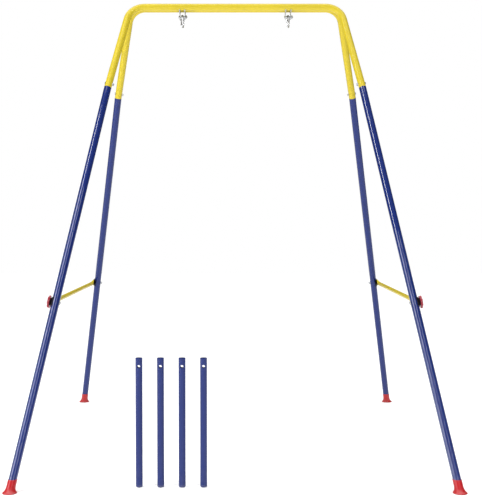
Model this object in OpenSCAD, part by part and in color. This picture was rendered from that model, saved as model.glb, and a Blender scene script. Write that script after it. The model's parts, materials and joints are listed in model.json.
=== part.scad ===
// Folding tube frame for a toddler swing: two hoops hinged at the top, four two-piece legs,
// two brace tubes released by star knobs, two screw-lock carabiners and four loose tubes.
// Millimetres, Z up. The origin is on the floor, midway between the four feet.

/* [Frame] */
// Height of the two top bars' centre lines above the floor
bar_h = 1374; // [1200:1:1500]
// Distance between the centre lines of the front and the rear top bar
bar_gap = 27; // [25.5:0.5:32]
// Tilt of each frame from upright
tilt = 24.3; // [22:0.1:27]
// Half width of a hoop where its legs would meet the bar's centre line
hoop_half = 331; // [300:1:360]
// Splay of the hoop's own legs
hoop_splay = 11; // [9:0.1:12]
// Splay of the blue legs
leg_splay = 9.1; // [8:0.1:10]
// Centre line radius of the hoop's bends
bend_r = 55; // [45:1:70]

/* [Tubes] */
// Outside diameter of the hoop and leg tubes
tube_d = 22; // [20:0.5:24]
// Wall of the hoop and leg tubes
tube_wall = 1.2; // [1:0.1:1.6]
// Slope distance from the bar down to the seam between hoop and leg
seam_v = 294; // [250:1:330]
// Slope distance from the bar down to the knob and pivot bolts
bolt_v = 987; // [950:1:1020]
// Distance of the lower seam below the knob and pivot bolts
lower_seam = 20; // [16:1:26]
// Length of the necked end that enters the next tube
neck_len = 46; // [38:1:60]

/* [Brace] */
// Outside diameter of a brace tube
brace_d = 13; // [11:0.5:14]
// Distance of a brace tube's centre line from the leg's centre line
brace_off = 16; // [15.5:0.5:20]
// Drop of a brace's tube below its two flattened ends
brace_drop = 4; // [0:0.5:4]
// Thickness of a brace's flattened end
tongue_t = 2; // [1.6:0.1:2.4]
// Height of a brace's flattened end
tongue_w = 20; // [16:1:22]

/* [Knobs] */
// Outside diameter of a star knob
knob_d = 36.5; // [30:0.5:38]
// Thickness of a star knob
knob_t = 6; // [5:0.5:8]
// Number of lobes round a knob
knob_lobes = 7; // [5:1:9]

/* [Hangers] */
// Distance between the two carabiners
hang_pitch = 335; // [280:1:400]
// Distance between the middles of a hanger's two plates
plate_pitch = 16.6; // [16:0.1:20]
// Drop of the hanger bolt below the bars' centre lines
hang_drop = 28.5; // [27:0.5:34]

/* [Carabiners] */
// Diameter of the carabiner's wire
wire_d = 3.6; // [3:0.1:3.6]
// Radius of the wire's centre line round the large end
big_r = 8.1; // [8:0.1:9]
// Radius of the wire's centre line round the small end
small_r = 4.9; // [4.6:0.1:5.4]
// Distance between the centres of the two ends
end_pitch = 24.9; // [24:0.1:28]
// Turn of the left and the right carabiner out of the plane square to its bolt
turns = [33, 28]; // [0:1:33]

/* [Loose tubes] */
// Outside diameter of a loose tube
loose_d = 18.6; // [16:0.2:20]
// Length of a loose tube with its plug
loose_l = 342.5; // [300:1:400]
// Distance between neighbouring loose tubes
loose_pitch = 56.8; // [40:0.1:60]

/* [Hidden] */
LEFT = -1;
RIGHT = 1;
FRONT = -1;
REAR = 1;
$fn = 48;

YELLOW = [0.95, 0.80, 0.16];
BLUE = [0.20, 0.27, 0.60];
RED = [0.85, 0.16, 0.18];
BLACK = [0.07, 0.07, 0.08];
STEEL = [0.72, 0.73, 0.75];
BRASS = [0.80, 0.65, 0.30];

tube_r = tube_d / 2;
bore_r = tube_r - tube_wall;
play = 0.05;
neck_r = bore_r - play;
neck_bore_r = neck_r - tube_wall;
hoop_bend = 90 - hoop_splay;
bar_half = hoop_half - bend_r * tan(hoop_bend / 2);
seam_x = hoop_half + seam_v * tan(hoop_splay);
foot_v = bar_h / cos(tilt);
joint_up = 13.5;
lap = 0.4;
thin = 0.02;
lower_seam_v = bolt_v + lower_seam * cos(leg_splay);

m5_r = 2.5;
m6_r = 3;
hole_play = 0.05;

saddle_top = tube_r + 1.6;
tongue_in = saddle_top + 0.1;
tongue_out = tongue_in + tongue_t;
washer_t = 1.2;
washer_r = 8;
knob_in = tongue_out + 0.1;
knob_out = knob_in + knob_t;
insert_r = 5.5;

foot_h = 33;
foot_sleeve_r = tube_r + 1;
foot_skirt_r = 19;
foot_floor = 6;

plate_t = 2;
ear_r = 8.5;
ring_r = 14;
plate_low = 9;
hinge_play = 0.08;

function leg_x(v) = seam_x + (v - seam_v) * tan(leg_splay);
bolt_x = leg_x(bolt_v);

// A frame's own plane: X along the bar, -Z down the slope
module in_frame(end) {
    mirror([0, end == FRONT ? 1 : 0, 0]) translate([0, bar_gap / 2, bar_h]) rotate([tilt, 0, 0])
        children();
}

module on_side(side) {
    mirror([side == LEFT ? 1 : 0, 0, 0]) children();
}

// A point on a hoop leg or a blue leg: -Z runs down the leg, +X points outward
module on_hoop_leg(v) {
    translate([hoop_half + v * tan(hoop_splay), 0, -v]) rotate([0, -hoop_splay, 0]) children();
}

module on_leg(v) {
    translate([leg_x(v), 0, -v]) rotate([0, -leg_splay, 0]) children();
}

module ring_tube(r, bore, h) {
    difference() {
        cylinder(r = r, h = h);
        translate([0, 0, -1]) cylinder(r = bore, h = h + 2);
    }
}

module along_x() {
    rotate([0, 90, 0]) children();
}

module cross_hole(r) {
    along_x() translate([0, 0, -tube_d]) cylinder(r = r, h = 2 * tube_d);
}

// A hoop: straight bar, two bends and two short legs, drilled for the joint bolts
module hoop_arc() {
    translate([bar_half, 0, -bend_r]) rotate([90, 0, 0]) rotate([0, 0, hoop_splay - lap])
        rotate_extrude(angle = hoop_bend + 2 * lap) translate([bend_r, 0]) difference() {
            circle(r = tube_r - 0.12);
            circle(r = bore_r + 0.12);
        }
}

module hoop(end) {
    bend_end_v = bend_r * (1 - sin(hoop_splay));
    color(YELLOW) in_frame(end) {
        along_x() translate([0, 0, -bar_half]) ring_tube(tube_r, bore_r, 2 * bar_half);
        for (side = [LEFT, RIGHT]) on_side(side) {
            hoop_arc();
            difference() {
                on_hoop_leg(seam_v) ring_tube(tube_r, bore_r, (seam_v - bend_end_v) / cos(hoop_splay));
                on_hoop_leg(seam_v) translate([0, 0, joint_up]) cross_hole(m5_r + hole_play);
            }
        }
    }
}

// An upper leg: a neck inside the hoop, then a tube that turns in slightly at the seam
module upper_leg(side, end) {
    straight = (lower_seam_v - seam_v) / cos(leg_splay);
    color(BLUE) in_frame(end) on_side(side) difference() {
        union() {
            on_hoop_leg(seam_v) translate([0, 0, -2]) cylinder(r = neck_r, h = neck_len + 2);
            difference() {
                on_leg(lower_seam_v) cylinder(r = tube_r, h = straight + 2);
                on_hoop_leg(seam_v) cylinder(r = tube_d, h = 10);
            }
        }
        on_hoop_leg(seam_v) translate([0, 0, -4]) cylinder(r = neck_bore_r, h = neck_len + 6);
        on_leg(lower_seam_v) translate([0, 0, -1]) cylinder(r = bore_r, h = straight - 6);
        on_hoop_leg(seam_v) translate([0, 0, joint_up]) cross_hole(m5_r + hole_play);
        on_leg(bolt_v) cross_hole(m6_r + hole_play);
    }
}

// A lower leg: a neck inside the upper leg, then a tube down into the foot
module lower_leg(side, end) {
    reach = (foot_v - lower_seam_v) / cos(leg_splay) - foot_floor / cos(tilt) - 2;
    color(BLUE) in_frame(end) on_side(side) difference() {
        union() {
            on_leg(lower_seam_v) translate([0, 0, -3]) cylinder(r = neck_r, h = neck_len + 3);
            on_leg(lower_seam_v) translate([0, 0, -reach]) cylinder(r = tube_r, h = reach - 0.05);
        }
        on_leg(lower_seam_v) translate([0, 0, -reach - 1]) cylinder(r = bore_r, h = reach - 5);
        on_leg(lower_seam_v) translate([0, 0, -8]) cylinder(r = neck_bore_r, h = neck_len + 10);
        on_leg(bolt_v) cross_hole(m6_r + hole_play);
    }
}

// A foot: a sleeve round the tube's end and a skirt that spreads to a level base
module foot(side, end) {
    base = [leg_x(foot_v), bar_gap / 2 + foot_v * sin(tilt), 0];
    lean = [-tan(leg_splay) / cos(tilt), -tan(tilt), 1];
    color(RED) mirror([side == LEFT ? 1 : 0, 0, 0]) mirror([0, end == FRONT ? 1 : 0, 0])
        difference() {
            union() {
                intersection() {
                    translate([0, bar_gap / 2, bar_h]) rotate([tilt, 0, 0]) on_leg(foot_v)
                        translate([0, 0, -10]) cylinder(r = foot_sleeve_r, h = 2 * foot_h);
                    translate(base + [-40, -60, 2]) cube([80, 100, foot_h - 2]);
                }
                translate(base) cylinder(r1 = foot_skirt_r - 0.8, r2 = foot_skirt_r, h = 0.8);
                translate(base + [0, 0, 0.8]) cylinder(r = foot_skirt_r, h = 1.4);
                hull() {
                    translate(base + [0, 0, 2.1]) cylinder(r = foot_skirt_r - 0.3, h = 0.2);
                    translate(base + lean * 11) cylinder(r = foot_sleeve_r + 0.8, h = 0.2);
                }
            }
            translate([0, bar_gap / 2, bar_h]) rotate([tilt, 0, 0]) on_leg(foot_v)
                translate([0, 0, foot_floor / cos(tilt) + 1]) cylinder(r = tube_r + play, h = 90);
        }
}

// Round-headed bolt along +X: the head's underside is at x = from
module bolt(r, head_r, head_t, from, to) {
    along_x() {
        translate([0, 0, from]) cylinder(r = r, h = to - from);
        translate([0, 0, from - head_t]) cylinder(r1 = head_r * 0.6, r2 = head_r, h = head_t);
    }
}

module hex_nut(r, across, t, from) {
    along_x() translate([0, 0, from]) difference() {
        cylinder(r = across / sqrt(3), h = t, $fn = 6);
        translate([0, 0, -1]) cylinder(r = r, h = t + 2);
    }
}

module joint_bolts(end) {
    color(STEEL) in_frame(end) for (side = [LEFT, RIGHT]) on_side(side)
        on_hoop_leg(seam_v) translate([0, 0, joint_up]) mirror([1, 0, 0])
            bolt(m5_r, 4.6, 2.4, -tube_r - 0.05, tube_r + 5);
}

module joint_nuts(end) {
    color(STEEL) in_frame(end) for (side = [LEFT, RIGHT]) on_side(side)
        on_hoop_leg(seam_v) translate([0, 0, joint_up]) mirror([1, 0, 0])
            hex_nut(m5_r, 8, 4, tube_r + 0.05);
}

module knob_bolt(side) {
    color(STEEL) in_frame(FRONT) on_side(side) on_leg(bolt_v)
        bolt(m6_r, 6, 3, -tube_r - 0.05, knob_out - 1);
}

module pivot_bolt(side) {
    color(STEEL) in_frame(REAR) on_side(side) on_leg(bolt_v)
        mirror([1, 0, 0]) bolt(m6_r, 6, 3, -tongue_out - 0.1, tube_r + 6);
}

module pivot_nut(side) {
    color(STEEL) in_frame(REAR) on_side(side) on_leg(bolt_v)
        mirror([1, 0, 0]) hex_nut(m6_r, 10, 5, tube_r + 0.05);
}

// A saddle: a pad that wraps the outer side of the leg and gives a flat seat
module saddle(side, end) {
    wrap = 6;
    high = 25;
    color(BLACK) in_frame(end) on_side(side) on_leg(bolt_v) difference() {
        intersection() {
            translate([0, 0, -high / 2]) cylinder(r = tube_r + 2.4, h = high);
            translate([wrap, -tube_d, -high / 2]) cube([saddle_top - wrap, 2 * tube_d, high]);
        }
        translate([0, 0, -high]) cylinder(r = tube_r + 0.02, h = 2 * high);
        cross_hole(m6_r + hole_play);
    }
}

// A hanger: two plates that carry the front bar, pivot on the rear bar and hold the bolt
module plate_shape() {
    difference() {
        union() {
            translate([bar_gap / 2, 0]) circle(r = ring_r);
            translate([0, -hang_drop]) circle(r = ear_r);
            intersection() {
                translate([-bar_gap / 2, 0]) circle(r = ring_r);
                translate([-60, -60]) square([60, 60 - plate_low]);
            }
            polygon([[-bar_gap / 2, 0], [bar_gap / 2, 0], [bar_gap / 2 + ring_r - 0.6, -4],
                [ear_r - 0.3, -hang_drop + 2], [-ear_r + 0.3, -hang_drop + 2],
                [-bar_gap / 2 - sqrt(ring_r * ring_r - plate_low * plate_low) + 0.2, -plate_low]]);
        }
        translate([-bar_gap / 2, 0]) circle(r = tube_r);
        translate([bar_gap / 2, 0]) circle(r = tube_r + hinge_play);
        translate([0, -hang_drop]) circle(r = m6_r + hole_play);
    }
}

module in_hanger(side) {
    translate([side * hang_pitch / 2, 0, bar_h]) children();
}

module hanger_plates(side) {
    color(STEEL) in_hanger(side) for (at = [-1, 1])
        translate([at * plate_pitch / 2 - plate_t / 2, 0, 0]) rotate([90, 0, 90])
            linear_extrude(plate_t) plate_shape();
}

module hanger_bolt(side) {
    seat = plate_pitch / 2 + plate_t / 2 + 0.05;
    color(STEEL) in_hanger(side) translate([0, 0, -hang_drop]) bolt(m6_r, 5, 3.2, -seat, seat + 6);
}

module hanger_nut(side) {
    seat = plate_pitch / 2 + plate_t / 2 + 0.05;
    color(STEEL) in_hanger(side) translate([0, 0, -hang_drop]) hex_nut(m6_r, 10, 4.5, seat);
}

// A brace: a straight tube whose two ends are flattened towards the leg.
// The rear end turns on the pivot bolt, the front end hooks over the knob bolt.
flat_to = 24;
round_from = 40;

module tongue(open_end) {
    depth = 40;
    translate([tongue_in, 0, 0]) rotate([90, 0, 90]) linear_extrude(tongue_t) difference() {
        union() {
            circle(d = tongue_w);
            translate([-flat_to - 1, -tongue_w / 2]) square([flat_to + 1, tongue_w]);
        }
        circle(r = m6_r + (open_end ? 0.3 : hole_play));
        if (open_end) polygon([[m6_r + 0.3, 0], [m6_r + 0.3, -depth], [-depth * tan(30), -depth],
            [-(m6_r + 0.3) * cos(30), (m6_r + 0.3) * sin(30)]]);
    }
}

// The tube's centre line stands off the leg by brace_off, square to the bolt's own direction
brace_x = bolt_x + brace_off * cos(leg_splay);
brace_y = bar_gap / 2 + bolt_v * sin(tilt) - brace_off * sin(leg_splay) * sin(tilt);
brace_z = bar_h - bolt_v * cos(tilt) + brace_off * sin(leg_splay) * cos(tilt) - brace_drop;

module brace_end(side, end, open_end) {
    in_tube = [brace_x, brace_y - round_from, brace_z];
    mirror([0, end == FRONT ? 1 : 0, 0]) {
        translate([0, bar_gap / 2, bar_h]) rotate([tilt, 0, 0]) on_leg(bolt_v)
            rotate([-tilt, 0, 0]) tongue(open_end);
        hull() {
            translate([0, bar_gap / 2, bar_h]) rotate([tilt, 0, 0]) on_leg(bolt_v)
                rotate([-tilt, 0, 0]) translate([tongue_in, -flat_to - 0.5, -tongue_w / 2])
                    cube([tongue_t, 0.5, tongue_w]);
            translate(in_tube) rotate([90, 0, 0]) cylinder(r = brace_d / 2 - 0.15, h = 1, $fn = 32);
        }
    }
}

module brace(side) {
    run = 2 * (brace_y - round_from) - 0.6;
    color(YELLOW) on_side(side) {
        translate([brace_x, run / 2, brace_z]) rotate([90, 0, 0])
            ring_tube(brace_d / 2, brace_d / 2 - tube_wall, run);
        brace_end(side, REAR, false);
        brace_end(side, FRONT, true);
    }
}

// A star knob: lobes round a disc, a recess for the washer and a seat for the metal insert
module knob(side) {
    lobe_r = knob_d * 0.13;
    lobe_at = knob_d / 2 - lobe_r;
    color(RED) in_frame(FRONT) on_side(side) on_leg(bolt_v) along_x()
        translate([0, 0, knob_in]) difference() {
            union() {
                cylinder(r = lobe_at, h = knob_t);
                for (i = [0 : knob_lobes - 1]) rotate([0, 0, 360 * i / knob_lobes])
                    translate([lobe_at, 0, 0]) cylinder(r = lobe_r, h = knob_t);
                translate([0, 0, knob_t]) cylinder(r1 = lobe_at * 0.62, r2 = lobe_at * 0.5, h = 2);
            }
            translate([0, 0, -1]) cylinder(r = washer_r + 0.3, h = washer_t + 1.2);
            translate([0, 0, -1]) cylinder(r = insert_r + 0.01, h = knob_t + 0.5);
        }
}

module knob_washer(side) {
    color(STEEL) in_frame(FRONT) on_side(side) on_leg(bolt_v) along_x()
        translate([0, 0, knob_in]) ring_tube(washer_r, m6_r + 0.06, washer_t);
}

module knob_insert(side) {
    color(BRASS) in_frame(FRONT) on_side(side) on_leg(bolt_v) along_x()
        translate([0, 0, knob_in + washer_t + 0.1]) ring_tube(insert_r, m6_r + 0.04, knob_t - washer_t - 0.7);
}

// A carabiner lies in its own XZ plane, large end up, gate at -X
taper = asin((big_r - small_r) / end_pitch);
wire_r = wire_d / 2;
gate_r = wire_r - 0.1;
gate_top = [-big_r * cos(taper), -big_r * sin(taper)];
gate_low = [-small_r * cos(taper), -end_pitch - small_r * sin(taper)];
gate_len = norm(gate_low - gate_top);
gate_dir = atan2(gate_low[1] - gate_top[1], gate_low[0] - gate_top[0]);
nose_at = 3.6;
pin_at = gate_len - 4;
pin_r = 0.7;
boss_r = 2.6;
blade_t = 1.6;
sleeve_len = 9.4;
bolt_seat = big_r - wire_r - m6_r - 0.15;

module in_carabiner(side) {
    in_hanger(side) translate([0, 0, -hang_drop]) rotate([0, 0, 90 - turns[side == LEFT ? 0 : 1]])
        translate([0, 0, -bolt_seat]) rotate([90, 0, 0]) children();
}

// Along the gate's line: X runs down from the large end's tangent point
module on_gate_line() {
    translate([gate_top[0], gate_top[1], 0]) rotate([0, 0, gate_dir]) children();
}

module wire_arc(at, r, from, to) {
    translate([0, at, 0]) rotate([0, 0, from - 4 * lap]) rotate_extrude(angle = to - from + 8 * lap)
        translate([r, 0]) circle(r = wire_r - thin);
}

module wire_rod(r, from, to) {
    translate([from, 0, 0]) along_x() cylinder(r = r, h = to - from);
}

module carabiner_body(side) {
    color(STEEL) in_carabiner(side) {
        wire_arc(0, big_r, -taper, 180 + taper);
        wire_arc(-end_pitch, small_r, -180 + taper, -taper);
        mirror([1, 0, 0]) on_gate_line() wire_rod(wire_r, 0, gate_len);
        on_gate_line() wire_rod(wire_r, 0, 0.6);
        on_gate_line() wire_rod(gate_r, 0.5, nose_at);
        on_gate_line() difference() {
            union() {
                wire_rod(wire_r, pin_at, gate_len);
                translate([pin_at, 0, -wire_r]) cylinder(r = boss_r, h = wire_d);
            }
            translate([pin_at - 5, -4, -blade_t / 2 - 0.1]) cube([7.8, 8, blade_t + 0.2]);
            translate([pin_at, 0, -5]) cylinder(r = pin_r, h = 10);
        }
    }
}

module carabiner_gate(side) {
    bar_to = pin_at - boss_r - 0.5;
    color(STEEL) in_carabiner(side) on_gate_line() difference() {
        union() {
            wire_rod(gate_r, nose_at + 0.3, bar_to);
            translate([pin_at, 0, -blade_t / 2]) cylinder(r = 2.1, h = blade_t);
            translate([bar_to - 0.5, -1.5, -blade_t / 2]) cube([pin_at - bar_to + 0.5, 3, blade_t]);
        }
        translate([pin_at, 0, -5]) cylinder(r = pin_r + 0.05, h = 10);
    }
}

module gate_pin(side) {
    color(STEEL) in_carabiner(side) on_gate_line()
        translate([pin_at, 0, -wire_r - 0.2]) cylinder(r = pin_r, h = wire_d + 0.4);
}

module screw_sleeve(side) {
    color(STEEL) in_carabiner(side) on_gate_line() translate([nose_at + 0.5, 0, 0]) along_x()
        difference() {
            union() {
                cylinder(r = 2.9, h = sleeve_len * 0.62);
                cylinder(r = 2.5, h = sleeve_len);
                for (i = [0 : 17]) rotate([0, 0, i * 20]) translate([2.75, 0, 0.4])
                    cylinder(r = 0.3, h = sleeve_len * 0.62 - 0.8, $fn = 6);
            }
            translate([0, 0, -1]) cylinder(r = gate_r + 0.08, h = sleeve_len + 2);
        }
}

// Loose tubes stand on their plugs in a row near the front, left of the middle
loose_y = -572;
loose_x = -252.9;
plug_h = 6;

module in_loose(i) {
    translate([loose_x + (i - 1) * loose_pitch, loose_y, 0]) children();
}

module loose_tube(i) {
    color(BLUE) in_loose(i) difference() {
        translate([0, 0, plug_h]) ring_tube(loose_d / 2, loose_d / 2 - tube_wall, loose_l - plug_h);
        translate([0, 0, loose_l - 22]) rotate([90, 0, 0]) translate([0, 0, -20])
            cylinder(r = 4.1, h = 40);
    }
}

module loose_plug(i) {
    stem_r = loose_d / 2 - tube_wall - 0.02;
    color(BLUE) in_loose(i) {
        cylinder(r1 = loose_d / 2 - 1.6, r2 = loose_d / 2, h = 2.5);
        translate([0, 0, 2.5]) cylinder(r = loose_d / 2, h = plug_h - 2.5);
        translate([0, 0, plug_h]) cylinder(r = stem_r, h = 14);
    }
}

hoop(FRONT);  // front_hoop
hoop(REAR);  // rear_hoop
upper_leg(LEFT, FRONT);  // front_left_upper_leg
upper_leg(RIGHT, FRONT);  // front_right_upper_leg
upper_leg(LEFT, REAR);  // rear_left_upper_leg
upper_leg(RIGHT, REAR);  // rear_right_upper_leg
lower_leg(LEFT, FRONT);  // front_left_lower_leg
lower_leg(RIGHT, FRONT);  // front_right_lower_leg
lower_leg(LEFT, REAR);  // rear_left_lower_leg
lower_leg(RIGHT, REAR);  // rear_right_lower_leg
foot(LEFT, FRONT);  // front_left_foot
foot(RIGHT, FRONT);  // front_right_foot
foot(LEFT, REAR);  // rear_left_foot
foot(RIGHT, REAR);  // rear_right_foot
joint_bolts(FRONT);  // front_joint_bolts
joint_bolts(REAR);  // rear_joint_bolts
joint_nuts(FRONT);  // front_joint_nuts
joint_nuts(REAR);  // rear_joint_nuts
knob_bolt(LEFT);  // left_knob_bolt
knob_bolt(RIGHT);  // right_knob_bolt
pivot_bolt(LEFT);  // left_pivot_bolt
pivot_bolt(RIGHT);  // right_pivot_bolt
pivot_nut(LEFT);  // left_pivot_nut
pivot_nut(RIGHT);  // right_pivot_nut
saddle(LEFT, FRONT);  // front_left_saddle
saddle(RIGHT, FRONT);  // front_right_saddle
saddle(LEFT, REAR);  // rear_left_saddle
saddle(RIGHT, REAR);  // rear_right_saddle
hanger_plates(LEFT);  // left_hanger_plates
hanger_plates(RIGHT);  // right_hanger_plates
hanger_bolt(LEFT);  // left_hanger_bolt
hanger_bolt(RIGHT);  // right_hanger_bolt
hanger_nut(LEFT);  // left_hanger_nut
hanger_nut(RIGHT);  // right_hanger_nut
brace(LEFT);  // left_brace
brace(RIGHT);  // right_brace
knob(LEFT);  // left_knob
knob(RIGHT);  // right_knob
knob_washer(LEFT);  // left_knob_washer
knob_washer(RIGHT);  // right_knob_washer
knob_insert(LEFT);  // left_knob_insert
knob_insert(RIGHT);  // right_knob_insert
carabiner_body(LEFT);  // left_carabiner_body
carabiner_body(RIGHT);  // right_carabiner_body
carabiner_gate(LEFT);  // left_carabiner_gate
carabiner_gate(RIGHT);  // right_carabiner_gate
gate_pin(LEFT);  // left_gate_pin
gate_pin(RIGHT);  // right_gate_pin
screw_sleeve(LEFT);  // left_screw_sleeve
screw_sleeve(RIGHT);  // right_screw_sleeve
loose_tube(1);  // loose_tube_1
loose_tube(2);  // loose_tube_2
loose_tube(3);  // loose_tube_3
loose_tube(4);  // loose_tube_4
loose_plug(1);  // loose_plug_1
loose_plug(2);  // loose_plug_2
loose_plug(3);  // loose_plug_3
loose_plug(4);  // loose_plug_4
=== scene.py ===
"""Looks for a folding tube frame that carries a toddler swing.

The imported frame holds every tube, plate and joint. This file gives each of them its finish and
adds the shapes that are better worked out as surfaces: the moulded feet, the star knobs, the
button-head bolts with their threads, and the weld beads under the front bar.
"""

import json
import math

import bpy
import numpy as np
from bpy.props import FloatProperty, FloatVectorProperty, IntProperty, PointerProperty
from bpy.types import Operator, Panel, PropertyGroup
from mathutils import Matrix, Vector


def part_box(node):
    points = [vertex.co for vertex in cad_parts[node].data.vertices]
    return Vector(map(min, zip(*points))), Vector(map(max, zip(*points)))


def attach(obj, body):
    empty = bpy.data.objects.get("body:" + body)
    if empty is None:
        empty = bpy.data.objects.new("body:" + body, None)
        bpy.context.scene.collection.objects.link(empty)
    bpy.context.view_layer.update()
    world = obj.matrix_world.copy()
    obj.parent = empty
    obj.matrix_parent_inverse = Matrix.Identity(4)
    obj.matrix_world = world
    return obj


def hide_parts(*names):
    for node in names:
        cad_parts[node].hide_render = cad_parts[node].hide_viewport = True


bl_info = {
    "name": "Folding Tube Frame",
    "version": (1, 0, 0),
    "blender": (4, 5, 0),
    "location": "3D View > Sidebar > Tube Frame",
    "description": "Finishes and moulded parts of a folding tube frame for a swing",
    "category": "Object",
}

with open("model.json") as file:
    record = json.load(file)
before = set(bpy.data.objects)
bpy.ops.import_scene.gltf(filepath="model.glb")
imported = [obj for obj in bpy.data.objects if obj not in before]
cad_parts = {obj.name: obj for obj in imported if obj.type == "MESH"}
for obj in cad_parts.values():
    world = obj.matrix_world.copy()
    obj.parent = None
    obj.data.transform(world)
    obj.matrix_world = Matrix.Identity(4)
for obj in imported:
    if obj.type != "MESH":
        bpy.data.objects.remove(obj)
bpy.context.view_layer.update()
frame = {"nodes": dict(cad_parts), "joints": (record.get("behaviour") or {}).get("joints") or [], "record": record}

SIDES = ("left", "right")
ENDS = ("front", "rear")
JOINTS = {j["name"]: j for j in frame["joints"]}
MOUNTS = {m["name"]: m for m in frame["record"]["mounts"]}
MM = 0.001

PAINTED_SHADE_FROM = 0.398  # distance from the middle past which a brace's ends are painted black as painted shade, the shadow in the gap at the knob, in metres
FRONT_COAT, REAR_COAT, LOOSE_COAT, HOOP_COAT = 1.0, 0.3, 0.45, 0.2  # weight of the clear coat
LEG_COAT_IOR = 1.75
PLATE_THICK = 2 * MM
BEAD_ARC = (224, 352)  # where a weld bead starts and ends round the bar, in degrees
# Radius of the head, its height and radius of the shank of each kind of bolt, in mm
JOINT_BOLT, M6_BOLT, HANGER_BOLT = (4.6, 2.4, 2.5), (6.0, 3.0, 3.0), (5.0, 3.2, 3.0)
# The sizes that the rows of a boot are drawn for: skirt and sleeve radius, height of the rim
DRAWN_SKIRT, DRAWN_SLEEVE, DRAWN_RIM = 19e-3, 12e-3, 33e-3
FIRST_SLEEVE_ROW = 15  # the boot's rows from this one on stretch with its height
AIM = (0, 0, 0.9)  # what the soft boxes face
FLOOR_REACH = 9.0
FLOOR_LEVEL = -0.0005


# ---------------------------------------------------------------- settings


class EnamelSettings(PropertyGroup):
    """Stoved enamel on the hoops, legs, braces and loose tubes."""

    yellow: FloatVectorProperty(
        name="Yellow", description="Enamel of the hoops and braces", subtype="COLOR",
        size=3, min=0, max=1, default=(0.62, 0.49, 0.034))
    blue: FloatVectorProperty(
        name="Blue", description="Enamel of the legs and loose tubes", subtype="COLOR",
        size=3, min=0, max=1, default=(0.007, 0.021, 0.152))
    peel: FloatProperty(
        name="Orange peel", description="Grain of the sprayed surface", unit="LENGTH",
        min=0.0002, max=0.01, default=0.0016)
    roughness: FloatProperty(
        name="Roughness", description="Mean roughness of the enamel", min=0, max=1, default=0.26)


class MouldedSettings(PropertyGroup):
    """Plastic of the feet, knobs, saddles and plugs."""

    foot_red: FloatVectorProperty(
        name="Foot red", description="Plastic of the feet", subtype="COLOR",
        size=3, min=0, max=1, default=(0.43, 0.007, 0.012))
    knob_red: FloatVectorProperty(
        name="Knob red", description="Plastic of the star knobs", subtype="COLOR",
        size=3, min=0, max=1, default=(0.29, 0.007, 0.024))
    black: FloatVectorProperty(
        name="Black", description="Plastic of the saddles", subtype="COLOR",
        size=3, min=0, max=1, default=(0.006, 0.006, 0.009))
    grain: FloatProperty(
        name="Grain", description="Grain of the mould's surface", unit="LENGTH",
        min=0.0001, max=0.005, default=0.0007)


class MetalSettings(PropertyGroup):
    """Zinc plate, bright plate and brass."""

    zinc: FloatVectorProperty(
        name="Zinc", description="Zinc plate on the brackets and bolts", subtype="COLOR",
        size=3, min=0, max=1, default=(0.50, 0.51, 0.52))
    bright: FloatVectorProperty(
        name="Bright plate", description="Plating of the carabiners", subtype="COLOR",
        size=3, min=0, max=1, default=(0.62, 0.63, 0.65))
    brass: FloatVectorProperty(
        name="Brass", description="Inserts of the knobs", subtype="COLOR",
        size=3, min=0, max=1, default=(0.72, 0.48, 0.16))


class FootSettings(PropertyGroup):
    """The moulded boot on each leg's end."""

    skirt: FloatProperty(
        name="Skirt radius", description="Radius of the level base", unit="LENGTH",
        min=0.01, max=0.03, default=0.0190)
    sleeve: FloatProperty(
        name="Sleeve radius", description="Radius of the sleeve round the tube", unit="LENGTH",
        min=0.01, max=0.02, default=0.0120)
    height: FloatProperty(
        name="Height", description="Height of the sleeve's level rim", unit="LENGTH",
        min=0.02, max=0.06, default=0.0330)


class KnobSettings(PropertyGroup):
    """The star knobs that hold the braces."""

    lobes: IntProperty(name="Lobes", description="Lobes round a knob", min=3, max=12, default=7)
    radius: FloatProperty(
        name="Radius", description="Radius over the lobes", unit="LENGTH",
        min=0.01, max=0.03, default=0.0182)
    valley: FloatProperty(
        name="Valley", description="Depth of the valleys between lobes", unit="LENGTH",
        min=0, max=0.006, default=0.0031)


class BoltSettings(PropertyGroup):
    """Threads, sockets and weld beads."""

    pitch: FloatProperty(
        name="Pitch", description="Thread pitch", unit="LENGTH",
        min=0.0004, max=0.002, default=0.0009)
    thread: FloatProperty(
        name="Thread depth", description="Depth of the thread", unit="LENGTH",
        min=0, max=0.001, default=0.00036)
    bead: FloatProperty(
        name="Bead radius", description="Radius of a weld bead", unit="LENGTH",
        min=0.0004, max=0.002, default=0.0010)


class StageSettings(PropertyGroup):
    """Camera, lights and floor."""

    eye: FloatVectorProperty(
        name="Camera", description="Where the camera stands", subtype="TRANSLATION", unit="LENGTH",
        size=3, default=(0.0055, -3.195, 0.719))
    pitch: FloatProperty(
        name="Pitch", description="The camera's turn below level", subtype="ANGLE",
        default=math.radians(1.93))
    lens: FloatProperty(name="Lens", description="Focal length, in millimetres", default=72.43)
    shift: FloatProperty(name="Shift", description="Sideways shift of the picture", default=0.0081)
    key: FloatProperty(name="Key", description="Power of the key light", unit="POWER", default=112)
    fill: FloatProperty(
        name="Fill", description="Power of the fill light", unit="POWER", default=52)
    top: FloatProperty(name="Top", description="Strength of the even light from above", default=3.1)
    sky: FloatProperty(name="Sky", description="Light from all round", min=0, max=3, default=0.05)


class TubeFrameSettings(PropertyGroup):
    """Everything that a user may change."""

    enamel: PointerProperty(type=EnamelSettings, name="Enamel", description="Enamel finishes")
    moulded: PointerProperty(type=MouldedSettings, name="Plastic", description="Moulded plastic")
    metal: PointerProperty(type=MetalSettings, name="Metal", description="Bare metals")
    foot: PointerProperty(type=FootSettings, name="Feet", description="Moulded feet")
    knob: PointerProperty(type=KnobSettings, name="Knobs", description="Star knobs")
    bolt: PointerProperty(type=BoltSettings, name="Bolts", description="Bolts and beads")
    stage: PointerProperty(type=StageSettings, name="Stage", description="Camera and lights")


# ---------------------------------------------------------------- shader maths


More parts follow.
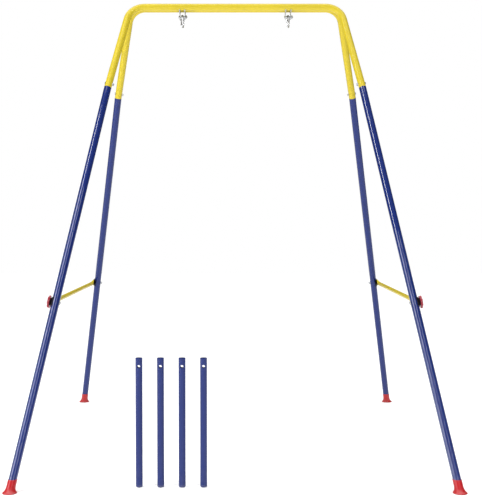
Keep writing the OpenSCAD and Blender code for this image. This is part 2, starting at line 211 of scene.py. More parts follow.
class Value:
    """A socket of a node tree. Arithmetic on it adds Math nodes to the same tree."""

    def __init__(self, finish, socket):
        self.finish, self.socket = finish, socket

    def _math(self, operation, first, second):
        return self.finish.node("ShaderNodeMath", {"operation": operation}, {0: first, 1: second})

    def __add__(self, other):
        return self._math("ADD", self, other)

    def __radd__(self, other):
        return self._math("ADD", other, self)

    def __sub__(self, other):
        return self._math("SUBTRACT", self, other)

    def __rsub__(self, other):
        return self._math("SUBTRACT", other, self)

    def __mul__(self, other):
        return self._math("MULTIPLY", self, other)

    def __rmul__(self, other):
        return self._math("MULTIPLY", other, self)

    def clear_of(self, low, high):
        """0 up to low, 1 from high, and a smooth step between."""
        return self.finish.node(
            "ShaderNodeMapRange", {"interpolation_type": "SMOOTHSTEP"},
            {"Value": self, "From Min": low, "From Max": high})


class Finish:
    """One material: a Principled surface whose inputs are built up by expressions."""

    def __init__(self, name, **constants):
        self.material = bpy.data.materials.new(name)
        self.material.use_nodes = True
        self.tree = self.material.node_tree
        self.tree.nodes.clear()
        self.surface = self.tree.nodes.new("ShaderNodeBsdfPrincipled")
        out = self.tree.nodes.new("ShaderNodeOutputMaterial")
        self.tree.links.new(self.surface.outputs[0], out.inputs[0])
        for socket, value in constants.items():
            self.input(socket).default_value = value
        self.place = self.node("ShaderNodeTexCoord", out="Object")

    def input(self, name):
        """The surface's socket of that name, such as coat_ior for Coat IOR."""
        return self.surface.inputs[name.replace("_", " ").title().replace("Ior", "IOR")]

    def node(self, kind, settings=None, inputs=None, out=0):
        """Adds a node of that type, sets it up, then feeds its sockets with values or links."""
        made = self.tree.nodes.new(kind)
        for key, value in (settings or {}).items():
            setattr(made, key, value)
        for key, value in (inputs or {}).items():
            if isinstance(value, Value):
                self.tree.links.new(value.socket, made.inputs[key])
            elif value is not None:
                made.inputs[key].default_value = value
        return Value(self, made.outputs[out])

    def noise(self, size, detail=3.0, rough=0.55, stretch=None):
        """Noise whose features are about that size, in metres, from 0 to 1."""
        at = self.place
        if stretch:
            at = self.node("ShaderNodeMapping", {}, {"Vector": at, "Scale": stretch})
        return self.node("ShaderNodeTexNoise", {}, {
            "Vector": at, "Scale": 1 / size, "Detail": detail, "Roughness": rough})

    def cells(self, size, feature="F1", out="Distance"):
        """Voronoi cells of about that size, in metres."""
        return self.node("ShaderNodeTexVoronoi", {"feature": feature}, {
            "Vector": self.place, "Scale": 1 / size}, out)

    def part(self, vector, axis):
        """One part of a vector or colour, by the name or number of its output."""
        return self.node("ShaderNodeSeparateXYZ", {}, {0: vector}, axis)

    def mix(self, factor, first, second):
        """A colour mix: factor 0 gives the first."""
        a, b = (c if isinstance(c, Value) else (*c, 1) for c in (first, second))
        return self.node("ShaderNodeMix", {"data_type": "RGBA"}, {0: factor, 6: a, 7: b}, 2)

    def bump(self, height, strength, distance, under=None):
        """Relief from a height between 0 and 1, distance metres deep."""
        return self.node("ShaderNodeBump", {}, {
            "Height": height, "Strength": strength, "Distance": distance, "Normal": under})

    def feed(self, **sockets):
        """Links values to the surface's own sockets."""
        for socket, value in sockets.items():
            self.tree.links.new(value.socket, self.input(socket))
        return self.material


def shade(colour, k):
    """A colour made darker or lighter by a factor, kept within 0 and 1."""
    return tuple(min(1.0, c * k) for c in colour)


def toward(colour, other, k):
    """A colour moved part of the way to another."""
    return tuple(a + (b - a) * k for a, b in zip(colour, other))


def enamel(name, colour, settings, coat_weight, coat_ior=1.5, dust=0.0, dip=None):
    """Sprayed and stoved enamel: slow drifts in depth of colour, orange peel, fine scuffs that
    dull it, small chips of primer, and some floor dust on what stands low. dip is a colour and
    the distance from the middle, front and rear, past which the ends are given that colour as
    painted shade, the shadow in the gap between saddle and knob."""
    f = Finish(name, coat_weight=coat_weight, coat_ior=coat_ior, coat_roughness=0.025,
               specular_ior_level=0.14)
    drift = f.noise(0.16, 2.0)
    pool = f.noise(0.012, 3.0)
    scuffs = f.noise(0.05, 5.0, 0.62, stretch=(1.0, 1.0, 0.35)).clear_of(0.60, 0.74)
    rubbed = f.noise(0.0035, 4.0, 0.7).clear_of(0.50, 0.64) * scuffs
    chips = f.cells(0.021).clear_of(0.030, 0.012) * f.noise(0.09, 2.0).clear_of(0.60, 0.72)
    body = f.mix(drift * 0.9, shade(colour, 0.90), shade(colour, 1.08))
    body = f.mix(pool.clear_of(0.42, 0.72) * 0.35, body, shade(colour, 0.84))
    body = f.mix(rubbed * 0.16, body, toward(colour, (0.75, 0.75, 0.74), 0.25))
    body = f.mix(chips * 0.55, body, (0.30, 0.29, 0.28))
    rough = settings.roughness + drift * 0.05 + rubbed * 0.14 + chips * 0.2
    if dust:
        low = f.part(f.place, "Z").clear_of(0.16, 0.015) * f.noise(0.018, 4.0).clear_of(0.30, 0.70)
        body = f.mix(low * dust, body, (0.46, 0.42, 0.36))
        rough = rough + low * 0.25
    # painted shade: past that distance the tube takes dip's colour, standing for the shadow in the gap beside the
    # knob
    if dip:
        out = f.node("ShaderNodeMath", {"operation": "ABSOLUTE"}, {0: f.part(f.place, "Y")})
        edge = dip[1] + f.noise(0.006, 2.0) * 0.0012
        painted_shade_mask = (out - edge).clear_of(0.0, 0.0003)
        body = f.mix(painted_shade_mask, body, dip[0])
        rough = rough + painted_shade_mask * 0.18
    peel = f.bump(f.noise(settings.peel, 2.0, 0.4), 0.10, 0.00012)
    relief = f.bump(1.0 - chips, 0.5, 0.00012, peel)
    return f.feed(base_color=body, roughness=rough, normal=relief)


def moulded(name, colour, settings, gloss=0.34, mottle=0.10, coat=0.5):
    """Injection-moulded plastic: faint flow marks, a fine spark-eroded grain, pale stress
    bloom and scratches that catch the light."""
    f = Finish(name, coat_weight=coat, coat_roughness=0.12, specular_ior_level=0.35)
    flow = f.noise(0.03, 3.0, 0.6, stretch=(1.0, 1.0, 0.25))
    bloom = f.noise(0.011, 4.0, 0.6).clear_of(0.48, 0.78)
    scratch = f.cells(0.006, "DISTANCE_TO_EDGE").clear_of(0.030, 0.008)
    scratch = scratch * f.noise(0.014, 3.0).clear_of(0.56, 0.66)
    body = f.mix(flow, shade(colour, 1 - mottle), shade(colour, 1 + mottle))
    body = f.mix(bloom * 0.12, body, toward(colour, (0.9, 0.9, 0.9), 0.12))
    body = f.mix(scratch * 0.20, body, toward(colour, (0.9, 0.9, 0.9), 0.4))
    low = f.part(f.place, "Z").clear_of(0.018, 0.001) * f.noise(0.006, 4.0).clear_of(0.34, 0.66)
    body = f.mix(low * 0.14, body, (0.33, 0.29, 0.25))
    rough = gloss + flow * 0.07 + bloom * 0.08 + scratch * 0.15 + low * 0.2
    grain = f.bump(f.noise(settings.grain, 3.0, 0.5), 0.22, 0.00008)
    relief = f.bump(1.0 - scratch, 0.25, 0.00006, grain)
    return f.feed(base_color=body, roughness=rough, normal=relief)


def zinc_plate(name, colour, passivated=0.10):
    """Zinc plate: fine spangle, a faint yellow and blue passivation tint, cloudy patches
    and the drawing lines of the steel below."""
    f = Finish(name, metallic=1.0)
    spangle = f.cells(0.0022, "F1", "Color")
    level = f.part(spangle, 0)
    cloud = f.noise(0.009, 4.0, 0.6)
    tint = f.noise(0.02, 2.0)
    lines = f.noise(0.0009, 2.0, 0.5, stretch=(0.15, 1.0, 1.0))
    body = f.mix(level * 0.35, shade(colour, 0.86), shade(colour, 1.14))
    body = f.mix(cloud.clear_of(0.45, 0.75) * 0.4, body, shade(colour, 0.72))
    warm = f.mix(tint.clear_of(0.35, 0.65), toward(colour, (0.80, 0.72, 0.45), 0.5),
                 toward(colour, (0.45, 0.55, 0.72), 0.5))
    body = f.mix(cloud * (2.0 * passivated), body, warm)
    rough = 0.27 + cloud * 0.16 + level * 0.05
    relief = f.bump(lines * 0.6 + level * 0.4, 0.18, 0.00005)
    return f.feed(base_color=body, roughness=rough, normal=relief)


def bright_plate(name, colour, knurled=False):
    """Bright nickel plate: polishing lines, smears of handling, dulled high spots."""
    f = Finish(name, metallic=1.0)
    smear = f.noise(0.010, 4.0, 0.6)
    lines = f.noise(0.0007, 2.0, 0.5, stretch=(1.0, 1.0, 0.12))
    worn = f.noise(0.0025, 4.0, 0.7).clear_of(0.55, 0.72)
    body = f.mix(smear, shade(colour, 0.88), shade(colour, 1.10))
    body = f.mix(worn * 0.3, body, shade(colour, 0.62))
    rough = 0.13 + smear * 0.10 + worn * 0.14 + (0.10 if knurled else 0.0)
    relief = f.bump(lines, 0.14, 0.00004)
    if knurled:
        knurl = f.cells(0.0005, "DISTANCE_TO_EDGE").clear_of(0.0, 0.25)
        relief = f.bump(knurl, 0.35, 0.00008, relief)
    return f.feed(base_color=body, roughness=rough, normal=relief)


def turned_brass(name, colour):
    """Turned brass: tool rings, brown tarnish in patches."""
    f = Finish(name, metallic=1.0)
    tarnish = f.noise(0.005, 4.0, 0.6).clear_of(0.42, 0.74)
    rings = f.noise(0.0004, 1.0, 0.4, stretch=(1.0, 0.2, 0.2))
    body = f.mix(tarnish * 0.6, colour, shade(colour, 0.45))
    return f.feed(base_color=body, roughness=0.24 + tarnish * 0.2,
                  normal=f.bump(rings, 0.3, 0.00004))


def studio_floor(name):
    """Pale paper sweep: a very slight cloud in its tone and fibre."""
    f = Finish(name, specular_ior_level=0.2, emission_color=(1, 1, 1, 1), emission_strength=0.18)
    cloud = f.noise(0.9, 2.0)
    body = f.mix(cloud, (0.93, 0.93, 0.93), (0.96, 0.96, 0.96))
    return f.feed(base_color=body, roughness=0.75 + cloud * 0.1,
                  normal=f.bump(f.noise(0.004, 2.0), 0.03, 0.0002))


# ---------------------------------------------------------------- surfaces


def unit(v):
    """A vector of length 1 along v."""
    v = np.asarray(v, float)
    return v / np.linalg.norm(v)


def across(axis):
    """Two unit vectors square to an axis and to each other, the first as level as it can be."""
    axis = unit(axis)
    level = np.array([0.0, 0.0, 1.0]) if abs(axis[2]) < 0.9 else np.array([1.0, 0.0, 0.0])
    first = unit(np.cross(level, axis))
    return first, np.cross(axis, first)


def angles(count):
    """Equal steps round a circle, the last one short of the first."""
    return np.linspace(0, 2 * np.pi, count, endpoint=False)


def skin(name, *shells):
    """A mesh object from shells. A shell is rings of points, rows by columns, that close round
    the columns; the mean of the first and of the last ring is a pole that closes the ends.
    Each shell is turned so that its volume, the sum of the tetrahedra from the origin to its
    faces, is positive, which points its faces outwards."""
    points, triangles, quads, start = [], [], [], 0
    for rings in shells:
        n, m = rings.shape[:2]
        flat = rings.reshape(-1, 3)
        verts = np.vstack([flat, rings[0].mean(0), rings[-1].mean(0)])
        i, j = np.meshgrid(np.arange(n - 1), np.arange(m), indexing="ij")
        k = (j + 1) % m
        q = np.stack([i * m + j, i * m + k, (i + 1) * m + k, (i + 1) * m + j], -1).reshape(-1, 4)
        a = np.arange(m)
        b = (a + 1) % m
        last = (n - 1) * m
        t = np.vstack([np.stack([np.full(m, n * m), b, a], -1),
                       np.stack([np.full(m, n * m + 1), last + a, last + b], -1)])
        both = np.vstack([q[:, [0, 1, 2]], q[:, [0, 2, 3]], t])
        p = verts[both] - verts.mean(0)
        if np.einsum("ij,ij->i", p[:, 0], np.cross(p[:, 1], p[:, 2])).sum() < 0:
            q, t = q[:, ::-1], t[:, ::-1]
        points.append(verts)
        quads.append(q + start)
        triangles.append(t + start)
        start += len(verts)
    verts = np.vstack(points)
    q, t = np.vstack(quads), np.vstack(triangles)
    loops = np.concatenate([q.ravel(), t.ravel()]).astype(np.int32)
    totals = np.concatenate([np.full(len(q), 4), np.full(len(t), 3)]).astype(np.int32)
    starts = np.concatenate([[0], np.cumsum(totals)[:-1]]).astype(np.int32)
    mesh = bpy.data.meshes.new(name)
    mesh.vertices.add(len(verts))
    mesh.vertices.foreach_set("co", verts.astype(np.float32).ravel())
    mesh.loops.add(len(loops))
    mesh.loops.foreach_set("vertex_index", loops)
    mesh.polygons.add(len(totals))
    mesh.polygons.foreach_set("loop_start", starts)
    mesh.polygons.foreach_set("loop_total", totals)
    mesh.update(calc_edges=True)
    if mesh.validate():
        raise RuntimeError(name + ": the surface came out with faults")
    made = bpy.data.objects.new(name, mesh)
    bpy.context.scene.collection.objects.link(made)
    return made


def smooth(obj, degrees=35):
    """Smooth shading, with edges sharper than the angle kept crisp."""
    obj.data.polygons.foreach_set("use_smooth", np.ones(len(obj.data.polygons), bool))
    obj.data.set_sharp_from_angle(angle=math.radians(degrees))


def finish_with(obj, material):
    """Gives an object one material in every slot."""
    if not obj.material_slots:
        obj.data.materials.append(material)
    for s in obj.material_slots:
        s.material = material


def coat(material, *names):
    """Puts a material on CAD nodes by name."""
    for name in names:
        finish_with(frame["nodes"][name], material)


def body_holding(node):
    """The body that a node belongs to."""
    for body, nodes in frame["record"]["behaviour"]["bodies"].items():
        if node in nodes:
            return body
    raise KeyError(node)


def vertices_of(node):
    """A node's points as an array."""
    mesh = frame["nodes"][node].data
    co = np.empty(len(mesh.vertices) * 3, np.float32)
    mesh.vertices.foreach_get("co", co)
    return co.reshape(-1, 3).astype(float)


def shaft_in(points):
    """The centre line of a bolt's points: a point on it, its direction from head to end, and
    its length. The line is their longest principal axis; the head is the end whose points
    stand further out from it."""
    middle = (points.min(0) + points.max(0)) / 2
    for _ in range(3):
        axis = np.linalg.svd(points - middle, full_matrices=False)[2][0]
        along = (points - middle) @ axis
        out = points - middle - np.outer(along, axis)
        e1, e2 = across(axis)
        u, v = out @ e1, out @ e2
        middle = middle + e1 * (u.min() + u.max()) / 2 + e2 * (v.min() + v.max()) / 2
    radius = np.linalg.norm(out, axis=1)
    half = (along.min() + along.max()) / 2
    if radius[along > half].max() > radius[along < half].max():
        axis, along = -axis, -along
    return middle + axis * along.min(), axis, np.ptp(along)


def turned(origin, axis, profile, columns=32, twist=None):
    """A turned shell: each row of the profile is a distance along the axis and a radius, and
    its ring is a circle of that radius. twist may change the radii as a function of the
    distance and the angle, as for a thread or a hexagon."""
    e1, e2 = across(axis)
    a = angles(columns)
    x, r = np.asarray(profile, float).T
    radius = np.repeat(r[:, None], columns, 1)
    if twist is not None:
        radius = twist(x[:, None], a[None, :], radius)
    round_ = np.cos(a)[None, :, None] * e1 + np.sin(a)[None, :, None] * e2
    return origin + x[:, None, None] * unit(axis) + radius[..., None] * round_


def button_bolt(points, head_r, head_t, shank_r, settings):
    """A button-head bolt with a hexagon socket. The head is a quarter ellipse turned about the
    shaft; the socket is a hexagon, r / cos of the angle from the nearest flat's middle; the
    thread lowers the shank's radius by a triangle wave of distance / pitch minus turn."""
    origin, axis, length = shaft_in(points)
    hexagon = head_r * 0.40
    phi = np.linspace(math.asin(0.52), math.pi / 2, 10)
    dome = np.stack([head_t * (1 - np.cos(phi)), head_r * np.sin(phi)], -1)
    rim = dome[0, 0]
    socket = [[rim + head_t * 0.52, hexagon * 0.5], [rim + head_t * 0.5, hexagon],
              [rim + head_t * 0.1, hexagon], [rim, hexagon * 1.06]]
    under = [[head_t, head_r * 0.98], [head_t, shank_r * 1.02], [head_t + 0.2 * MM, shank_r]]
    threaded = min(14 * MM, length - head_t - 4 * MM)
    first = length - threaded
    steps = int(threaded / settings.pitch * 8)
    shank = np.stack([np.linspace(first, length - 0.8 * MM, steps), np.full(steps, shank_r)], -1)
    tip = [[length, shank_r * 0.78]]
    profile = np.vstack([socket, dome, under, shank, tip])
    in_socket = len(socket)

    def twist(x, a, radius):
        radius = radius.copy()
        flat = (a + np.pi / 6) % (np.pi / 3) - np.pi / 6
        radius[:in_socket] = radius[:in_socket] * np.cos(np.pi / 6) / np.cos(flat)
        wave = np.abs(((x / settings.pitch - a / (2 * np.pi)) % 1.0) * 2 - 1)
        fade = np.clip((x - first) / (1.5 * settings.pitch), 0, 1)
        return radius - settings.thread * wave * fade * (x > first)

    return turned(origin, axis, profile, 32, twist)


def star_knob(centre, axis, settings):
    """A star knob. Its outline is radius - valley * (1 - |cos(lobes * angle / 2)|) ** 0.8, and
    the outline is scaled by one number and lifted by another along a rounded edge; a round
    recess faces the leg and a round hub faces out, each blended into the outline by a weight."""
    columns = 16 * settings.lobes
    a = angles(columns)
    dip = (1 - np.abs(np.cos(settings.lobes * a / 2))) ** 0.8
    outline = settings.radius - settings.valley * dip
    rows = np.array([  # round radius mm, scale of the outline, weight of the outline, height mm
        [5.6, 0.0, 0, 1.35], [8.28, 0.0, 0, 1.35], [8.30, 0.0, 0, 0.10], [8.5, 0.0, 0, 0.0],
        [0, 0.90, 1, 0.0], [0, 0.945, 1, 0.05], [0, 0.972, 1, 0.28], [0, 0.99, 1, 0.75],
        [0, 1.0, 1, 1.5], [0, 1.0, 1, 4.3], [0, 0.99, 1, 5.1], [0, 0.97, 1, 5.62],
        [0, 0.94, 1, 5.92], [0, 0.90, 1, 6.0], [0, 0.84, 1, 5.92], [0, 0.72, 1, 5.5],
        [9.4, 0.0, 0, 5.25], [8.9, 0.0, 0, 5.35], [8.55, 0.0, 0, 5.8], [8.35, 0.0, 0, 7.1],
        [8.1, 0.0, 0, 7.6], [7.5, 0.0, 0, 7.9], [6.6, 0.0, 0, 7.98], [4.5, 0.0, 0, 7.6],
        [1.5, 0.0, 0, 7.45]])
    round_r, scale, weight, lift = rows.T[:, :, None]
    radius = (1 - weight) * round_r * MM + weight * scale * outline[None, :]
    e1, e2 = across(axis)
    ring = np.cos(a)[None, :, None] * e1 + np.sin(a)[None, :, None] * e2
    return centre + (lift * MM)[..., None] * unit(axis) + radius[..., None] * ring


def boot(base, leg, settings):
    """A moulded boot. Every ring lies level, with its centre on the leg's line. The skirt's
    rings are circles; a weight turns them into the sleeve's oval, which is the tube's own
    round section cut level: longer by 1 / cos of the leg's slope along the slope. The inside
    wall goes down from the rim to the cavity's floor."""
    k, s = settings.skirt / DRAWN_SKIRT, settings.sleeve / DRAWN_SLEEVE
    rows = np.array([  # height mm, radius mm, weight of the oval
        [0.0, 16.2 * k, 0], [0.03, 17.7 * k, 0], [0.3, 18.5 * k, 0], [0.8, 18.95 * k, 0],
        [1.5, 18.98 * k, 0], [2.1, 18.7 * k, 0], [2.7, 17.9 * k, 0.02], [3.5, 16.9 * k, 0.06],
        [4.6, 15.9 * k, 0.14], [6.0, 14.95 * k, 0.28], [7.6, 14.1 * k, 0.46],
        [9.4, 13.35 * s, 0.66], [11.4, 12.75 * s, 0.84], [13.6, 12.3 * s, 0.96],
        [16.0, 12.06 * s, 1], [19.0, 12.0 * s, 1], [31.2, 12.0 * s, 1], [32.2, 11.92 * s, 1],
        [32.75, 11.7 * s, 1], [32.98, 11.4 * s, 1], [32.9, 11.1, 1], [32.2, 11.06, 1],
        [24.0, 11.06, 1], [9.0, 11.06, 1]])
    rows[FIRST_SLEEVE_ROW:, 0] *= settings.height / DRAWN_RIM
    up, radius, weight = rows.T
    a = angles(72)
    leg = unit(leg)
    level, _ = across(leg)
    slope = np.cross([0.0, 0.0, 1.0], level)
    stretch = 1 + weight * (1 / leg[2] - 1)
    centre = base + (up * MM / leg[2])[:, None] * leg
    ring = np.cos(a)[None, :, None] * level + (stretch[:, None] * np.sin(a))[..., None] * slope
    return centre[:, None] + (radius * MM)[:, None, None] * ring


def weld_bead(x, bar, bar_r, r):
    """A bead along BEAD_ARC round the bar at one X. Its round section swells and sinks with the
    ripples of the weld, r * (0.86 + 0.16 |sin|), and shrinks at both ends as the square root
    of 0.02 + 0.98 sin of its own run, from 0 to pi."""
    rings = 150
    turn = np.radians(np.linspace(*BEAD_ARC, rings))
    run = np.linspace(0, np.pi, rings)
    section = r * (0.86 + 0.16 * np.abs(np.sin(turn * 26))) * np.sqrt(np.sin(run) * 0.98 + 0.02)
    b = angles(14)
    radial = np.stack([np.zeros_like(turn), np.cos(turn), np.sin(turn)], -1)
    path = bar + np.array([x, 0, 0]) + radial * (bar_r + 0.15 * r)
    along_x = np.array([1.0, 0, 0])
    ring = np.cos(b)[None, :, None] * radial[:, None] + np.sin(b)[None, :, None] * along_x
    return path[:, None] + section[:, None, None] * ring


# ---------------------------------------------------------------- operators


class TUBEFRAME_OT_hoops(Operator):
    """Enamel the two hoops and the two braces yellow"""

    bl_idname = "tubeframe.hoops"
    bl_label = "Hoops and braces"

    def execute(self, context):
        s = context.scene.tube_frame.enamel
        yellow, black = tuple(s.yellow), tuple(context.scene.tube_frame.moulded.black)
        coat(enamel("yellow_enamel", yellow, s, HOOP_COAT), "front_hoop", "rear_hoop")
        # painted shade: the braces' ends are coloured the saddles' black for the shadow in the gap at the knob
        coat(enamel("brace_enamel", yellow, s, 0.0, dip=(black, PAINTED_SHADE_FROM)),
             "left_brace", "right_brace")
        return {"FINISHED"}


class TUBEFRAME_OT_legs(Operator):
    """Enamel the eight leg tubes blue, glossier in front, with floor dust on the lower ones"""

    bl_idname = "tubeframe.legs"
    bl_label = "Legs"

    def execute(self, context):
        s = context.scene.tube_frame.enamel
        for end, weight in zip(ENDS, (FRONT_COAT, REAR_COAT)):
            look = tuple(s.blue), s, weight, LEG_COAT_IOR
            upper = enamel(end + "_blue_enamel", *look)
            lower = enamel(end + "_blue_enamel_dusty", *look, dust=0.015)
            for side in SIDES:
                coat(upper, f"{end}_{side}_upper_leg")
                coat(lower, f"{end}_{side}_lower_leg")
        return {"FINISHED"}


class TUBEFRAME_OT_loose_tubes(Operator):
    """Enamel the four loose tubes and finish their plugs"""

    bl_idname = "tubeframe.loose_tubes"
    bl_label = "Loose tubes"

    def execute(self, context):
        s = context.scene.tube_frame
        tube = enamel("loose_enamel", tuple(s.enamel.blue), s.enamel, LOOSE_COAT, dust=0.03)
        plug = moulded("plug_plastic", shade(tuple(s.enamel.blue), 0.9), s.moulded)
        for i in range(1, 5):
            coat(tube, f"loose_tube_{i}")
            coat(plug, f"loose_plug_{i}")
        return {"FINISHED"}


class TUBEFRAME_OT_saddles(Operator):
    """Finish the black saddles between legs and braces"""

    bl_idname = "tubeframe.saddles"
    bl_label = "Saddles"

    def execute(self, context):
        s = context.scene.tube_frame.moulded
        black = moulded("saddle_plastic", tuple(s.black), s, gloss=0.42, mottle=0.25, coat=0.0)
        coat(black, *(f"{end}_{side}_saddle" for end in ENDS for side in SIDES))
        return {"FINISHED"}


class TUBEFRAME_OT_feet(Operator):
    """Make the four moulded feet"""

    bl_idname = "tubeframe.feet"
    bl_label = "Feet"

    def execute(self, context):
        s = context.scene.tube_frame
        red = moulded("foot_plastic", tuple(s.moulded.foot_red), s.moulded, gloss=0.30, coat=0.25)
        for end in ENDS:
            for side in SIDES:
                node = f"{end}_{side}_foot"
                base = np.array(MOUNTS[node + "_base"]["pos_m"])
                joint = side + ("_knob_turn" if end == "front" else "_brace_turn")
                leg = np.array(JOINTS[joint]["pos_m"]) - base
                made = skin(node + "_boot", boot(base, leg, s.foot))
                smooth(made)
                finish_with(made, red)
                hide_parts(node)
                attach(made, body_holding(node))
        return {"FINISHED"}


class TUBEFRAME_OT_knobs(Operator):
    """Make the two star knobs and finish their washers and inserts"""

    bl_idname = "tubeframe.knobs"
    bl_label = "Star knobs"

    def execute(self, context):
        s = context.scene.tube_frame
        red = moulded("knob_plastic", tuple(s.moulded.knob_red), s.moulded, gloss=0.32)
        for side in SIDES:
            joint = JOINTS[side + "_knob_turn"]
            axis = unit(joint["axis"])
            pivot = np.array(joint["pos_m"])
            reach = (vertices_of(side + "_knob") - pivot) @ axis
            made = skin(side + "_star_knob", star_knob(pivot + reach.min() * axis, axis, s.knob))
            smooth(made, 50)
            finish_with(made, red)
            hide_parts(side + "_knob")
            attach(made, side + "_knob")
        washer = zinc_plate("washer_zinc", tuple(s.metal.zinc))
        coat(washer, *(side + "_knob_washer" for side in SIDES))
        insert = turned_brass("insert_brass", tuple(s.metal.brass))
        coat(insert, *(side + "_knob_insert" for side in SIDES))
        return {"FINISHED"}


class TUBEFRAME_OT_bolts(Operator):
    """Make the button-head bolts and finish their nuts"""

    bl_idname = "tubeframe.bolts"
    bl_label = "Bolts and nuts"

    def execute(self, context):
        s = context.scene.tube_frame
        zinc = zinc_plate("bolt_zinc", tuple(s.metal.zinc))
        kinds = {end + "_joint_bolts": JOINT_BOLT for end in ENDS}
        for side in SIDES:
            kinds[side + "_knob_bolt"] = M6_BOLT
            kinds[side + "_pivot_bolt"] = M6_BOLT
            kinds[side + "_hanger_bolt"] = HANGER_BOLT
        for node, sizes in kinds.items():
            points = vertices_of(node)
            groups = [points]
            if node.endswith("bolts"):
                groups = [points[points[:, 0] < 0], points[points[:, 0] > 0]]
            shells = [button_bolt(g, *(v * MM for v in sizes), s.bolt) for g in groups]
            made = skin(node + "_turned", *shells)
            smooth(made)
            finish_with(made, zinc)
            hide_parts(node)
            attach(made, body_holding(node))
        coat(zinc, *(end + "_joint_nuts" for end in ENDS))
        coat(zinc, *(side + part for side in SIDES for part in ("_pivot_nut", "_hanger_nut")))
        return {"FINISHED"}


class TUBEFRAME_OT_hangers(Operator):
    """Finish the hanger plates and run the weld beads that hold them to the front bar"""

    bl_idname = "tubeframe.hangers"
    bl_label = "Hangers"

    def execute(self, context):
        s = context.scene.tube_frame
        zinc = zinc_plate("plate_zinc", tuple(s.metal.zinc), 0.16)
        hinge = np.array(JOINTS["fold"]["pos_m"])
        bar = np.array([0.0, -hinge[1], hinge[2]])
        bar_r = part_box("front_hoop")[1][2] - hinge[2]
        for side in SIDES:
            node = side + "_hanger_plates"
            coat(zinc, node)
            low, high = (c[0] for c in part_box(node))
            faces = [low, low + PLATE_THICK, high - PLATE_THICK, high]
            made = skin(side + "_weld_beads", *(
                weld_bead(x, bar, bar_r, s.bolt.bead) for x in faces))
            smooth(made, 60)
            finish_with(made, zinc)
            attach(made, "front_frame")
        return {"FINISHED"}


class TUBEFRAME_OT_carabiners(Operator):
    """Finish the carabiners, their gates, pins and screw sleeves"""

    bl_idname = "tubeframe.carabiners"
    bl_label = "Carabiners"

    def execute(self, context):
        s = context.scene.tube_frame.metal
        plate = bright_plate("bright_plate", tuple(s.bright))
        sleeve = bright_plate("knurled_plate", shade(tuple(s.bright), 0.9), True)
        for side in SIDES:
            coat(plate, side + "_carabiner_body", side + "_carabiner_gate", side + "_gate_pin")
            coat(sleeve, side + "_screw_sleeve")
        return {"FINISHED"}


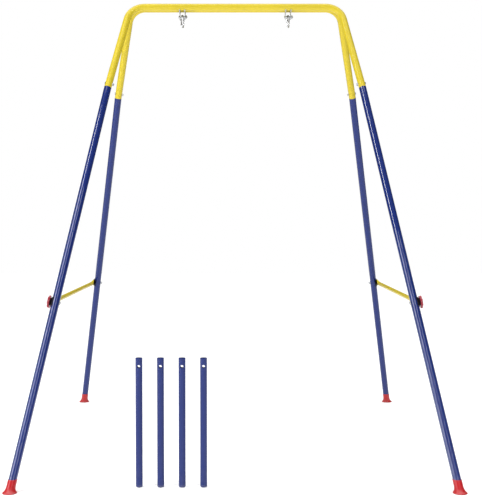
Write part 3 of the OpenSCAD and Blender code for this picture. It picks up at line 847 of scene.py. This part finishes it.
class TUBEFRAME_OT_stage(Operator):
    """Make the floor, the lights and the camera"""

    bl_idname = "tubeframe.stage"
    bl_label = "Stage"

    def execute(self, context):
        s = context.scene.tube_frame.stage
        scene = context.scene
        scene.view_settings.view_transform = "Standard"
        mesh = bpy.data.meshes.new("floor")
        corners = ((-1, -1), (1, -1), (1, 1), (-1, 1))
        mesh.from_pydata([(x * FLOOR_REACH, y * FLOOR_REACH, FLOOR_LEVEL) for x, y in corners],
                         [], [(0, 1, 2, 3)])
        floor = bpy.data.objects.new("floor", mesh)
        scene.collection.objects.link(floor)
        finish_with(floor, studio_floor("floor_paper"))

        self.lamp(scene, "key_light", (-3.05, -2.3, 2.3), (0.4, 4.4), s.key)
        self.lamp(scene, "fill_light", (1.56, -4.1, 2.2), (0.22, 4.2), s.fill)
        even = bpy.data.lights.new("even_light", "SUN")
        even.energy = s.top
        even.angle = math.radians(70)
        even.specular_factor = 0.0
        above = bpy.data.objects.new("even_light", even)
        above.location = (0, 0, 3)
        scene.collection.objects.link(above)

        world = bpy.data.worlds.new("studio")
        scene.world = world
        world.use_nodes = True
        nodes, links = world.node_tree.nodes, world.node_tree.links
        nodes.clear()
        seen = nodes.new("ShaderNodeLightPath")
        white, soft = nodes.new("ShaderNodeBackground"), nodes.new("ShaderNodeBackground")
        white.inputs["Color"].default_value = (1, 1, 1, 1)
        soft.inputs["Color"].default_value = (1, 1, 1, 1)
        soft.inputs["Strength"].default_value = s.sky
        pick, out = nodes.new("ShaderNodeMixShader"), nodes.new("ShaderNodeOutputWorld")
        links.new(seen.outputs["Is Camera Ray"], pick.inputs[0])
        links.new(soft.outputs[0], pick.inputs[1])
        links.new(white.outputs[0], pick.inputs[2])
        links.new(pick.outputs[0], out.inputs[0])

        camera = bpy.data.cameras.new("camera")
        camera.lens = s.lens
        camera.sensor_width = 36
        camera.shift_x = s.shift
        camera.clip_end = 50
        holder = bpy.data.objects.new("camera", camera)
        holder.location = s.eye
        holder.rotation_euler = (math.pi / 2 - s.pitch, 0, 0)
        scene.collection.objects.link(holder)
        scene.camera = holder
        return {"FINISHED"}

    def lamp(self, scene, name, at, size, power):
        """A soft box, so wide and so tall, that faces AIM."""
        light = bpy.data.lights.new(name, "AREA")
        light.shape = "RECTANGLE"
        light.size, light.size_y = size
        light.energy = power
        holder = bpy.data.objects.new(name, light)
        holder.location = at
        away = np.array(at) - np.array(AIM)
        level = math.hypot(away[0], away[1])
        holder.rotation_euler = (math.atan2(level, away[2]), 0, math.atan2(away[0], -away[1]))
        scene.collection.objects.link(holder)


class TUBEFRAME_PT_panel(Panel):
    """The pieces of the tube frame"""

    bl_idname = "TUBEFRAME_PT_panel"
    bl_label = "Tube Frame"
    bl_space_type = "VIEW_3D"
    bl_region_type = "UI"
    bl_category = "Tube Frame"

    def draw(self, context):
        layout = self.layout
        for piece in PIECES:
            layout.operator(piece.bl_idname)
        for group in context.scene.tube_frame.bl_rna.properties.keys():
            if group not in ("rna_type", "name"):
                box = layout.box()
                settings = getattr(context.scene.tube_frame, group)
                box.label(text=group.capitalize())
                for key in type(settings).__annotations__:
                    box.prop(settings, key)


PIECES = (
    TUBEFRAME_OT_hoops, TUBEFRAME_OT_legs, TUBEFRAME_OT_loose_tubes, TUBEFRAME_OT_saddles,
    TUBEFRAME_OT_feet, TUBEFRAME_OT_knobs, TUBEFRAME_OT_bolts, TUBEFRAME_OT_hangers,
    TUBEFRAME_OT_carabiners, TUBEFRAME_OT_stage,
)
CLASSES = (
    EnamelSettings, MouldedSettings, MetalSettings, FootSettings, KnobSettings, BoltSettings,
    StageSettings, TubeFrameSettings, *PIECES, TUBEFRAME_PT_panel,
)


def register():
    """Registers the classes and hangs the settings on the scene."""
    for c in CLASSES:
        bpy.utils.register_class(c)
    bpy.types.Scene.tube_frame = PointerProperty(type=TubeFrameSettings)


def unregister():
    """Takes the settings and the classes away again."""
    del bpy.types.Scene.tube_frame
    for c in reversed(CLASSES):
        bpy.utils.unregister_class(c)


def main():
    """Makes every piece in order."""
    register()
    for piece in PIECES:
        group, name = piece.bl_idname.split(".")
        getattr(getattr(bpy.ops, group), name)()


if __name__ == "__main__":
    main()
